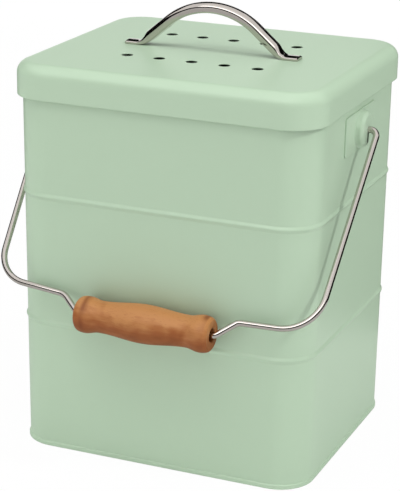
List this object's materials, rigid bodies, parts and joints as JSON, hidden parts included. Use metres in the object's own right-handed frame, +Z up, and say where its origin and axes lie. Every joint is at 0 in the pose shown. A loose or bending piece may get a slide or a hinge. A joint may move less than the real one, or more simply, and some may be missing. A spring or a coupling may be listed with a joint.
{
  "type": "compost caddy",
  "caption": "Rectangular painted-steel compost caddy with a lift-off vented lid, steel bow handle, charcoal filter, wire bail with a wooden grip, and a removable liner bucket.",
  "frame": {"origin": "middle of the base, on the surface the tin stands on", "axes": "+Z up, -Y to the front, where the bail hangs at rest, +X to the viewer's right; the two ears and the lid's bow lie along X"},
  "size_m": [0.2274, 0.1956, 0.281],
  "materials": {
    "green_paint": "satin powder coat",
    "green_paint_lid": "satin powder coat",
    "polished_steel": "polished",
    "zinc_steel": "zinc plated",
    "turned_wood": "lacquered",
    "white_plastic": "matt",
    "charcoal_felt": "matt"
  },
  "bodies": {
    "tin": {"body_wrap": "green_paint", "base_pan": "green_paint", "ear_left": "green_paint", "ear_right": "green_paint"},
    "lid": {"lid_shell": "green_paint_lid", "lid_handle": "polished_steel", "handle_washers": "zinc_steel", "handle_nuts": "zinc_steel", "filter_frame": "white_plastic", "filter_pad": "charcoal_felt", "filter_grille": "white_plastic"},
    "bail": {"bail_wire": "polished_steel"},
    "grip": {"wood_grip": "turned_wood"},
    "bucket": {"inner_bucket": "white_plastic"},
    "bucket_bail": {"bucket_handle": "zinc_steel"}
  },
  "joints": [
    {"name": "lid_lift", "type": "slide", "parent": "tin", "child": "lid", "axis": [0, 0, 1], "range_m": [0, 0.38]},
    {"name": "bail_swing", "type": "hinge", "parent": "tin", "child": "bail", "pos_m": [0, 0, 0.2115], "axis": [-1, 0, 0], "range_deg": [0, 278]},
    {"name": "grip_spin", "type": "hinge", "parent": "bail", "child": "grip", "pos_m": [-0.0014, -0.09664, 0.10033], "axis": [1, 0, 0], "continuous": true},
    {"name": "bucket_lift", "type": "slide", "parent": "tin", "child": "bucket", "axis": [0, 0, 1], "range_m": [0, 0.25]},
    {"name": "bucket_bail_swing", "type": "hinge", "parent": "bucket", "child": "bucket_bail", "pos_m": [0, 0, 0.236], "axis": [-1, 0, 0], "range_deg": [0, 90.1]}
  ],
  "couplings": [
    {"joint": "bucket_lift", "follows": "lid_lift", "ratio": 0.65},
    {"joint": "bucket_bail_swing", "follows": "lid_lift", "rad_per_m": 4.1337}
  ]
}
